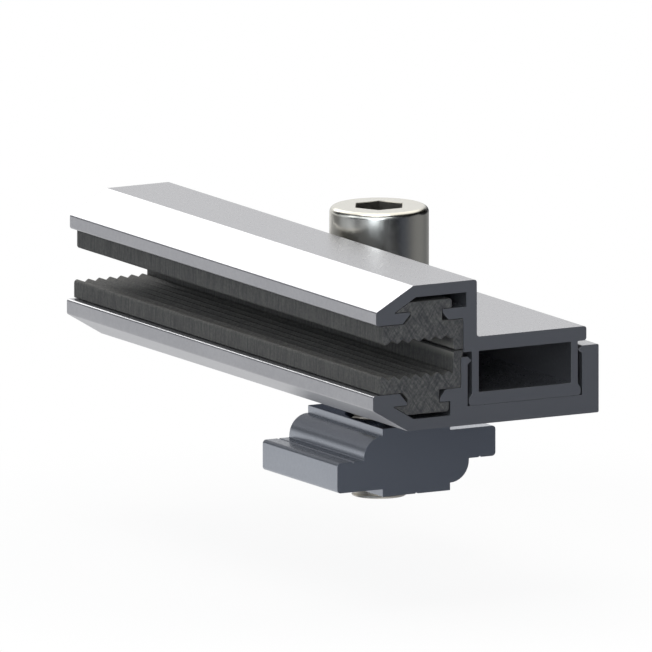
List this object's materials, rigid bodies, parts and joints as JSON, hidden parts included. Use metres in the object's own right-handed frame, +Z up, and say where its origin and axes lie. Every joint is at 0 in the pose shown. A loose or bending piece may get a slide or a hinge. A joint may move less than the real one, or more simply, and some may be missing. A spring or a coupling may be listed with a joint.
{
  "type": "solar panel clamp",
  "caption": "Aluminium clamp with a sliding upper jaw and serrated rubber pads that grips the edge of a frameless solar panel and bolts to a rail.",
  "frame": {"origin": "on the screw's axis, in the flat face that sits on the rail, midway along the extrusions", "axes": "+Z up from the rail along the screw; +Y along the extrusions; -X towards the glass"},
  "size_m": [0.0355, 0.082, 0.0383],
  "materials": {
    "extrusion": "mill-finish aluminium extrusion, satin",
    "rubber": "matt black EPDM rubber",
    "screw_steel": "bright stainless steel",
    "ring_steel": "plain stainless spring steel"
  },
  "bodies": {
    "lower_jaw": {"lower_profile": "extrusion", "lower_pad": "rubber"},
    "upper_jaw": {"upper_profile": "extrusion", "upper_pad": "rubber"},
    "screw": {"cap_screw": "screw_steel", "lock_ring": "ring_steel"},
    "nut": {"slot_nut": "extrusion"}
  },
  "joints": [
    {"name": "jaw_lift", "type": "slide", "parent": "lower_jaw", "child": "upper_jaw", "axis": [0, 0, 1], "range_m": [0, 0.0045]},
    {"name": "screw_turn", "type": "hinge", "parent": "upper_jaw", "child": "screw", "pos_m": [0, 0, 0], "axis": [0, 0, -1], "range_deg": [-2160, 360]},
    {"name": "nut_travel", "type": "slide", "parent": "upper_jaw", "child": "nut", "axis": [0, 0, 1], "range_m": [-0.0076, 0.0013]}
  ],
  "couplings": [
    {"joint": "nut_travel", "follows": "screw_turn", "m_per_rad": 0.00019894}
  ]
}
